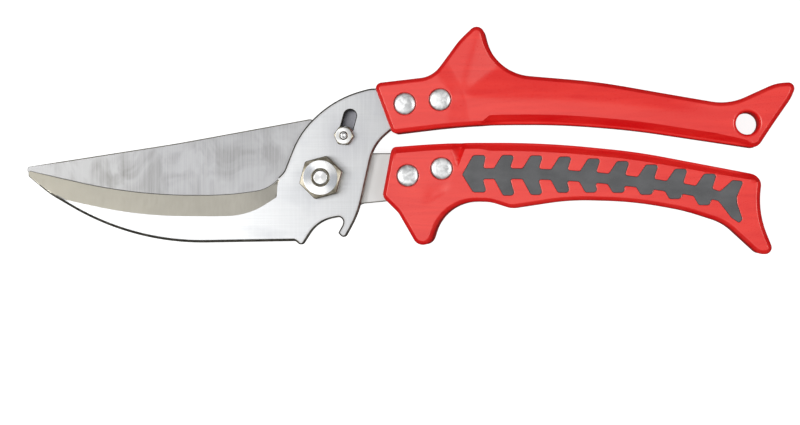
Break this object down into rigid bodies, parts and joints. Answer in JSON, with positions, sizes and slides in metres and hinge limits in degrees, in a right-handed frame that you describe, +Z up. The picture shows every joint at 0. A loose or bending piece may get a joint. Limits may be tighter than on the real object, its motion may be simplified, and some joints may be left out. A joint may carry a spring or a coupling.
{
  "type": "pruning shears",
  "caption": "Hand pruning shears with ground steel blades, a bottle-opener notch, a sliding lock and moulded handles with a soft fish-bone inlay.",
  "frame": {"origin": "middle of the underside of the closed shears, on the surface that the handles lie on", "axes": "+X from the blade tips to the handle butts, +Y towards the upper handle, +Z up through the thickness, along the pivot's axis"},
  "size_m": [0.2586, 0.0755, 0.0158],
  "materials": {
    "polished_steel": "fine brushed",
    "brushed_steel": "brushed",
    "red_plastic": "moulded satin gloss",
    "soft_rubber": "matte soft",
    "plated_steel": "plated",
    "spring_steel": "blued satin",
    "button_plastic": "matte",
    "rivet_steel": "polished"
  },
  "bodies": {
    "lower_handle": {"rear_blade": "brushed_steel", "lower_handle_front": "red_plastic", "lower_handle_rear": "red_plastic", "grip_inlay_front": "soft_rubber", "grip_inlay_rear": "soft_rubber", "pivot_bolt": "plated_steel", "pivot_nut": "plated_steel", "torsion_spring": "spring_steel", "spring_stop": "spring_steel", "lower_rivets": "rivet_steel", "lower_rivet_caps": "rivet_steel"},
    "upper_handle": {"front_blade": "polished_steel", "upper_handle_front": "red_plastic", "upper_handle_rear": "red_plastic", "spring_peg": "spring_steel", "upper_rivets": "rivet_steel", "upper_rivet_caps": "rivet_steel"},
    "lock": {"lock_stud": "plated_steel", "lock_nut": "plated_steel", "lock_washer": "plated_steel", "lock_plate": "spring_steel", "lock_button": "button_plastic"}
  },
  "joints": [
    {"name": "blade_pivot", "type": "hinge", "parent": "lower_handle", "child": "upper_handle", "pos_m": [-0.027, -0.01237, 0.0075], "axis": [0, 0, 1], "range_deg": [0, 28], "deforming": ["torsion_spring"]},
    {"name": "lock_slide", "type": "slide", "parent": "upper_handle", "child": "lock", "axis": [0.2706, 0.9627, 0], "range_m": [0, 0.0069]}
  ]
}
